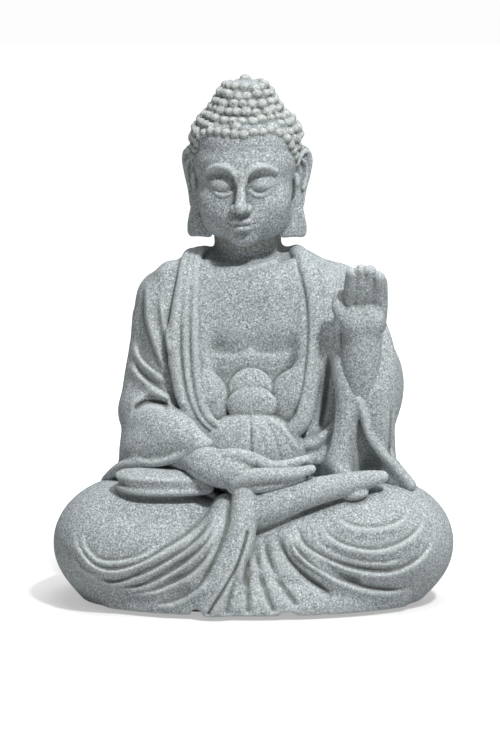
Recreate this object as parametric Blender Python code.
"""Seated robed figure, cast in sections in stone-dust resin, as an assembly of separate solids.

The figure sits cross-legged, its left hand raised and its right hand in its lap. It is cast in five
sections: the legs, the torso with its sleeves, the head, and the two hands. Dowels and pins join them.
The legs section is a shell with a ballast core inside, closed below by a base plate that stands on four
felt pads.

Axes: +X to the figure's left hand, +Y to its back, +Z up. The origin is on the floor, at the middle of
the figure.
Run with: blender --background --python part.py
"""

import math

import bmesh
import bpy
from mathutils import Matrix, Vector

MM = 0.001

# Driving dimensions, in millimetres.
PAD_THICKNESS = 1.5
PAD_RADIUS = 9.0
BASE_PLATE_THICKNESS = 3.0
GAP = 0.6  # glue line between neighbouring castings
TOUCH = 0.3  # between pieces that lie on each other
SHELL_WALL = 9.0
DOWEL_RADIUS = 4.0
PIN_RADIUS = 1.5
HOLE_GAP = 0.3  # round a dowel or pin
HOLE_OVERRUN = 0.6  # beyond its ends
REBATE_LEDGE = 3.0  # how far the base plate laps over the shell's rim

# Landmarks, in millimetres.
FLOOR_OF_CASTING = PAD_THICKNESS + TOUCH
TORSO_FOOT = 46.0  # height of the flat foot that the torso stands on, inside its seat in the legs
NECK_FOOT = 178.0  # lowest point of the neck spigot
# The hollow in the legs narrows towards its top: (further inset, height) of each of its levels.
HOLLOW_LEVELS = ((0.0, 22.0), (6.0, 32.0), (16.0, 38.0))
# The footprint of the shell: a wide oval whose sides are fuller than an ellipse's.
BASE_CENTRE = Vector((1.0, -10.0, 0.0))
BASE_HALF_WIDTH = 90.0
BASE_HALF_DEPTH = 55.0
BASE_FULLNESS = 2.4
# Dowels and pins, from end to end.
NECK_DOWEL = ((0.0, 3.0, 164.0), (0.0, 3.0, 206.0))
WAIST_DOWELS = (-22.0, 22.0)
WAIST_DOWEL_Y = 8.0
WAIST_DOWEL_ENDS = (40.5, 66.0)
LEFT_WRIST_PIN = ((62.0, -30.0, 136.0), (62.0, -43.0, 164.0))
RIGHT_WRIST_PIN = ((-44.0, -32.0, 93.0), (-20.0, -53.0, 86.5))
PADS = ((-62.0, -34.0), (64.0, -34.0), (-56.0, 22.0), (58.0, 22.0))

CASTING_COLOUR = (0.42, 0.46, 0.475, 1.0)
STEEL_COLOUR = (0.55, 0.56, 0.58, 1.0)
PLASTER_COLOUR = (0.80, 0.78, 0.73, 1.0)
BOARD_COLOUR = (0.36, 0.25, 0.16, 1.0)
FELT_COLOUR = (0.05, 0.055, 0.05, 1.0)


def clear_scene():
    for thing in list(bpy.data.objects):
        bpy.data.objects.remove(thing, do_unlink=True)


def material(name, colour, roughness, metallic=0.0):
    made = bpy.data.materials.new(name)
    made.use_nodes = True
    shader = made.node_tree.nodes["Principled BSDF"]
    shader.inputs["Base Color"].default_value = colour
    shader.inputs["Roughness"].default_value = roughness
    shader.inputs["Metallic"].default_value = metallic
    made.diffuse_color = colour
    return made


def new_object(name, mesh, finish):
    made = bpy.data.objects.new(name, mesh)
    bpy.context.scene.collection.objects.link(made)
    mesh.materials.append(finish)
    mesh.shade_smooth()
    return made


def as_helper(thing):
    """A cutter or guide, which isn't a part of the figure."""
    thing.hide_render = True
    thing.display_type = "WIRE"
    return thing


# ---------------------------------------------------------------- rounded forms


def add_lump(bm, centre, radii, turn=(0.0, 0.0, 0.0)):
    """An ellipsoid, turned by degrees about X, Y and Z."""
    place = Matrix.Translation(Vector(centre))
    for axis, degrees in zip("XYZ", turn):
        place = place @ Matrix.Rotation(math.radians(degrees), 4, axis)
    place = place @ Matrix.Diagonal((*radii, 1.0))
    bmesh.ops.create_uvsphere(bm, u_segments=40, v_segments=24, radius=1.0, matrix=place)


def smooth_route(stations, steps):
    """Catmull-Rom points through (x, y, z, radius) stations."""
    points = [Vector(s) for s in stations]
    points = [2 * points[0] - points[1], *points, 2 * points[-1] - points[-2]]
    route = []
    for a, b, c, d in zip(points, points[1:], points[2:], points[3:]):
        for i in range(steps):
            t = i / steps
            bend = (2 * a - 5 * b + 4 * c - d) * t**2 + (3 * b - a - 3 * c + d) * t**3
            route.append(0.5 * (2 * b + (c - a) * t + bend))
    return [*route, points[-2]]


def add_limb(bm, stations, steps=6):
    """A round limb through (x, y, z, radius) stations, as close balls that the remesh makes one form."""
    for ball in smooth_route(stations, steps):
        place = Matrix.Translation(ball.xyz) @ Matrix.Scale(max(ball.w, 0.5), 4)
        bmesh.ops.create_icosphere(bm, subdivisions=3, radius=1.0, matrix=place)


def casting(name, fill, voxel, ease, triangles, finish):
    """One closed form from lumps and limbs: remeshed, eased where they meet, then thinned to its budget."""
    bm = bmesh.new()
    fill(bm)
    mesh = bpy.data.meshes.new(name)
    bm.to_mesh(mesh)
    bm.free()
    mesh.transform(Matrix.Scale(MM, 4))
    made = new_object(name, mesh, finish)
    remesh = made.modifiers.new("one_form", "REMESH")
    remesh.mode = "VOXEL"
    remesh.voxel_size = voxel * MM
    smooth = made.modifiers.new("ease", "SMOOTH")
    smooth.factor = 0.5
    smooth.iterations = ease
    fixed_mesh(made)
    thin = made.modifiers.new("thin", "DECIMATE")
    thin.ratio = min(1.0, triangles / (2 * len(made.data.polygons)))
    return made


def fixed_mesh(thing):
    """Applies the object's modifiers, so that its mesh can be cut and copied."""
    bpy.context.view_layer.update()
    graph = bpy.context.evaluated_depsgraph_get()
    mesh = bpy.data.meshes.new_from_object(thing.evaluated_get(graph))
    thing.modifiers.clear()
    thing.data = mesh
    return thing


def grown_copy(thing, gap):
    """A cutter: the object's own shape, larger all round by the gap."""
    made = bpy.data.objects.new(thing.name + "_clearance", thing.data.copy())
    bpy.context.scene.collection.objects.link(made)
    push = made.modifiers.new("gap", "DISPLACE")
    push.strength = gap * MM
    push.mid_level = 0.0
    return as_helper(fixed_mesh(made))


def cut(thing, cutter, name):
    boolean = thing.modifiers.new(name, "BOOLEAN")
    boolean.operation = "DIFFERENCE"
    boolean.solver = "EXACT"
    boolean.object = cutter


def block(name, low, high):
    """A box between two corners, used as a cutter."""
    bm = bmesh.new()
    low, high = Vector(low), Vector(high)
    place = Matrix.Translation((low + high) / 2) @ Matrix.Diagonal((*(high - low), 1.0))
    bmesh.ops.create_cube(bm, size=1.0, matrix=place)
    mesh = bpy.data.meshes.new(name)
    bm.to_mesh(mesh)
    bm.free()
    mesh.transform(Matrix.Scale(MM, 4))
    made = bpy.data.objects.new(name, mesh)
    bpy.context.scene.collection.objects.link(made)
    return as_helper(made)


def rod(name, start, end, radius, finish=None, sides=24):
    """A round bar from start to end. With no finish it is a cutter."""
    start, end = Vector(start), Vector(end)
    along = end - start
    place = Matrix.Translation((start + end) / 2) @ along.to_track_quat("Z", "Y").to_matrix().to_4x4()
    bm = bmesh.new()
    bmesh.ops.create_cone(
        bm, cap_ends=True, segments=sides, radius1=radius, radius2=radius, depth=along.length, matrix=place
    )
    mesh = bpy.data.meshes.new(name)
    bm.to_mesh(mesh)
    bm.free()
    mesh.transform(Matrix.Scale(MM, 4))
    if finish:
        made = new_object(name, mesh, finish)
        mesh.set_sharp_from_angle(angle=math.radians(40))
        return made
    made = bpy.data.objects.new(name, mesh)
    bpy.context.scene.collection.objects.link(made)
    return as_helper(made)


def footprint(inset, corners=48):
    """The plan of the legs at the floor, drawn in by an inset."""
    half_width, half_depth = BASE_HALF_WIDTH - inset, BASE_HALF_DEPTH - inset
    for i in range(corners):
        a = 2 * math.pi * i / corners
        c, s = math.cos(a), math.sin(a)
        x = half_width * math.copysign(abs(c) ** (2 / BASE_FULLNESS), c)
        y = half_depth * math.copysign(abs(s) ** (2 / BASE_FULLNESS), s)
        yield BASE_CENTRE + Vector((x, y, 0.0))


def slab(name, rings, finish=None):
    """A solid between footprints, given as (inset, height) rings from the bottom up."""
    bm = bmesh.new()
    loops = []
    for inset, height in rings:
        loops.append([bm.verts.new(p + Vector((0, 0, height))) for p in footprint(inset)])
    bm.faces.new(reversed(loops[0]))
    for low, high in zip(loops, loops[1:]):
        for i in range(len(low)):
            j = (i + 1) % len(low)
            bm.faces.new((low[i], low[j], high[j], high[i]))
    bm.faces.new(loops[-1])
    mesh = bpy.data.meshes.new(name)
    bm.to_mesh(mesh)
    bm.free()
    mesh.transform(Matrix.Scale(MM, 4))
    if finish:
        made = new_object(name, mesh, finish)
        mesh.set_sharp_from_angle(angle=math.radians(40))
        return made
    made = bpy.data.objects.new(name, mesh)
    bpy.context.scene.collection.objects.link(made)
    return as_helper(made)


# ---------------------------------------------------------------- the figure's sections


def fill_legs(bm):
    """Crossed legs under a robe, with both feet drawn up on the thighs."""
    add_lump(bm, (1, -8, 24), (92, 60, 36))
    add_lump(bm, (1, 0, 40), (84, 50, 30))
    for side, knee in ((-1, -70), (1, 74)):
        add_lump(bm, (knee, -20, 36.5), (42.5, 47, 35))
        add_lump(bm, (side * 50, 8, 44), (52, 42, 28), (0, side * 8, 0))
        add_lump(bm, (side * 42, -46, 20), (46, 28, 24))
    add_lump(bm, (0, -54, 14), (50, 22, 20))
    # The right foot lies along the left thigh, and the left foot along the right thigh.
    add_limb(bm, ((-2, -62, 46, 7), (18, -58, 55, 10), (42, -48, 64, 10), (66, -38, 70, 7), (76, -34, 72, 5)))
    add_limb(bm, ((-20, -52, 68, 6), (-38, -50, 71, 8), (-56, -45, 72, 8), (-68, -40, 71, 6)))
    # Cloth falling over the crossing of the shins.
    add_limb(bm, ((-6, -50, 70, 6), (-6, -60, 58, 8), (-10, -66, 38, 9), (-16, -68, 16, 10)))


def fill_torso(bm):
    """Chest and belly in an open robe, the right sleeve in the lap and the left sleeve raised and hanging."""
    add_lump(bm, (0, 8, 82), (50, 36, 48))
    add_lump(bm, (0, 8, 140), (52, 33, 52))
    add_limb(bm, ((-44, 8, 171, 20), (0, 6, 178, 19), (46, 8, 171, 20)))
    add_limb(bm, ((-26, 6, 186, 13), (0, 5, 190, 16), (27, 6, 186, 13)))
    # Right arm: upper arm, elbow and forearm, and the sleeve that widens over the thigh.
    add_limb(bm, ((-45, 7, 170, 20), (-49, 5, 138, 20), (-50, 0, 112, 20), (-50, -8, 96, 20)))
    add_limb(bm, ((-50, -8, 98, 20), (-42, -26, 94, 18), (-32, -40, 92, 12)))
    hem = ((-82, -4, 69, 6), (-73, -20, 77, 7), (-60, -34, 80, 8), (-42, -48, 84, 8), (-29, -52, 89, 6))
    add_limb(bm, hem)
    add_lump(bm, (-54, -16, 84), (22, 26, 18))
    # Left arm: upper arm, elbow, raised forearm, and the sleeve that hangs from it.
    add_limb(bm, ((46, 7, 170, 20), (59, 5, 142, 20), (64, 0, 120, 20), (62, -14, 116, 17)))
    add_limb(bm, ((62, -16, 118, 17), (62, -27, 134, 15), (62, -32, 148, 12.5)))
    add_limb(bm, ((58, -22, 118, 16), (56, -22, 98, 16), (60, -24, 78, 16)))
    add_limb(bm, ((66, -10, 108, 12), (73, -14, 90, 12), (84, -20, 75, 9), (93, -22, 65, 6)))
    # Open edges of the robe down the chest, and the folds of the inner robe over the belly.
    for side in (-1, 1):
        edge = ((27, -16, 188, 6), (36, -22, 150, 7), (33, -28, 112, 7), (20, -34, 98, 6))
        add_limb(bm, [(side * x, y, z, radius) for x, y, z, radius in edge])
    add_lump(bm, (0, -18, 92), (30, 26, 22))


def fill_head(bm):
    """Head on its neck, with hair, topknot and long ears."""
    add_lump(bm, (-2, -1, 246), (28, 30, 34))
    add_lump(bm, (-2, -7, 232), (24, 23, 21))
    add_limb(bm, ((-2, -31, 243, 2.5), (-2, -33, 236, 3.5), (-2, -29, 232, 3)))
    add_lump(bm, (-2, 4, 258), (33.5, 33, 26))
    add_lump(bm, (-2.5, 5, 276), (23, 23, 17))
    add_lump(bm, (-2.5, 5, 285), (16, 16, 15))
    add_limb(bm, ((0, 3, NECK_FOOT + 14, 14), (0, 3, 200, 19), (-1, 2, 212, 19), (-2, 0, 222, 20)))
    for side in (-1, 1):
        ear = ((33, 2, 251, 4), (32, 4, 238, 4.5), (30, 3, 225, 4), (29, 1, 215, 6))
        add_limb(bm, [(-2 + side * x, y, z, radius) for x, y, z, radius in ear])


def fill_left_hand(bm):
    """Raised open hand: wrist, palm, four fingers and thumb."""
    add_limb(bm, ((62, -35, 148, 8), (62, -40, 158, 9), (62, -43, 168, 9)))
    add_lump(bm, (62, -43, 169), (11.5, 7.5, 12))
    for i, (x, top) in enumerate(((55, 189), (59.7, 192), (64.4, 191), (69, 187))):
        add_limb(bm, ((x, -43, 172, 3.6), (x, -44, top - 9, 3.6), (x, -48, top - 2, 3.1)))
    add_limb(bm, ((55, -46, 160, 4), (50, -50, 168, 4), (48, -53, 177, 3.2)))


def fill_right_hand(bm):
    """Hand lying palm up in the lap, fingers to the figure's left."""
    add_limb(bm, ((-34, -46, 86, 8), (-22, -53, 87, 8), (-8, -58, 84, 8)))
    add_lump(bm, (-4, -57, 83), (18, 12, 8))
    for i in range(4):
        y = -66 + 5 * i
        add_limb(bm, ((6, y, 81 + i, 3.8), (18, y + 1, 79 + i, 3.8), (31 - i, y + 3, 82 + i, 3)))
    add_limb(bm, ((-16, -48, 90, 5), (-2, -44, 90, 4.5), (12, -46, 87, 3.5)))


def make_sections(stone):
    """The five castings, cut to each other so that a thin glue line is left at every joint."""
    legs = casting("legs_casting", fill_legs, 2.0, 12, 2200, stone)
    torso = casting("torso_casting", fill_torso, 1.7, 10, 2800, stone)
    head = casting("head_casting", fill_head, 1.1, 8, 1800, stone)
    left_hand = casting("left_hand_casting", fill_left_hand, 0.6, 5, 800, stone)
    right_hand = casting("right_hand_casting", fill_right_hand, 0.6, 5, 800, stone)

    reach = 400.0
    cut(torso, block("torso_foot_cutter", (-reach, -reach, -10), (reach, reach, TORSO_FOOT)), "flat_foot")
    for section in (torso, head, left_hand, right_hand):
        fixed_mesh(section)
    left_cutter = grown_copy(left_hand, GAP)
    right_cutter = grown_copy(right_hand, GAP)
    cut(torso, grown_copy(head, GAP), "neck_socket")
    cut(torso, left_cutter, "left_wrist_socket")
    cut(torso, right_cutter, "right_wrist_socket")
    fixed_mesh(torso)
    cut(legs, block("floor_cutter", (-reach, -reach, -reach), (reach, reach, FLOOR_OF_CASTING)), "flat_rim")
    cut(legs, grown_copy(torso, GAP), "torso_seat")
    cut(legs, right_cutter, "hand_seat")
    return {"legs": legs, "torso": torso, "head": head, "left_hand": left_hand, "right_hand": right_hand}


def make_fill_and_base(sections, plaster, board, felt):
    """Hollow in the legs, the ballast core that fills it, the base plate and the felt pads."""
    below = -5.0
    plate_top = FLOOR_OF_CASTING + BASE_PLATE_THICKNESS
    rebate = SHELL_WALL - REBATE_LEDGE
    levels = [(SHELL_WALL + inset, height) for inset, height in HOLLOW_LEVELS]
    cut(sections["legs"], slab("hollow_cutter", ((SHELL_WALL, below), *levels)), "hollow")
    cut(sections["legs"], slab("rebate_cutter", ((rebate, below), (rebate, plate_top))), "plate_rebate")
    core = [(inset + TOUCH, height - TOUCH) for inset, height in levels]
    slab("ballast_core", ((SHELL_WALL + TOUCH, plate_top + TOUCH), *core), plaster)
    slab("base_plate", ((rebate + TOUCH, FLOOR_OF_CASTING), (rebate + TOUCH, plate_top - TOUCH)), board)
    for i, (x, y) in enumerate(PADS, 1):
        rod(f"felt_pad_{i}", (x, y, 0), (x, y, PAD_THICKNESS), PAD_RADIUS, felt, sides=32)


def make_dowels(sections, steel):
    """Steel dowels and pins across the joints, each in a blind hole that is a little wider and deeper."""
    rods = [("neck_dowel", NECK_DOWEL, DOWEL_RADIUS, ("torso", "head"))]
    for side, x in zip(("right", "left"), WAIST_DOWELS):
        ends = [(x, WAIST_DOWEL_Y, z) for z in WAIST_DOWEL_ENDS]
        rods.append((f"waist_dowel_{side}", ends, DOWEL_RADIUS, ("torso", "legs")))
    rods.append(("left_wrist_pin", LEFT_WRIST_PIN, PIN_RADIUS, ("torso", "left_hand")))
    rods.append(("right_wrist_pin", RIGHT_WRIST_PIN, PIN_RADIUS, ("torso", "right_hand")))
    for name, ends, radius, joined in rods:
        start, end = (Vector(e) for e in ends)
        rod(name, start, end, radius, steel)
        clear = (end - start).normalized() * HOLE_OVERRUN
        hole = rod(name + "_hole", start - clear, end + clear, radius + HOLE_GAP)
        for section in joined:
            cut(sections[section], hole, name + "_hole")


def centre_on_footprint():
    """Moves everything so that the origin is on the floor at the middle of the figure's footprint box."""
    bpy.context.view_layer.update()
    graph = bpy.context.evaluated_depsgraph_get()
    corners = []
    for thing in bpy.data.objects:
        if not thing.hide_render:
            evaluated = thing.evaluated_get(graph)
            corners += [evaluated.matrix_world @ Vector(corner) for corner in evaluated.bound_box]
    shift = Vector([-(min(c[k] for c in corners) + max(c[k] for c in corners)) / 2 for k in range(2)] + [0.0])
    for thing in bpy.data.objects:
        thing.location += shift


def main():
    clear_scene()
    stone = material("stone_resin", CASTING_COLOUR, 0.85)
    steel = material("dowel_steel", STEEL_COLOUR, 0.35, 1.0)
    plaster = material("plaster", PLASTER_COLOUR, 0.9)
    board = material("fibreboard", BOARD_COLOUR, 0.8)
    felt = material("felt", FELT_COLOUR, 1.0)
    sections = make_sections(stone)
    make_fill_and_base(sections, plaster, board, felt)
    make_dowels(sections, steel)
    centre_on_footprint()


main()
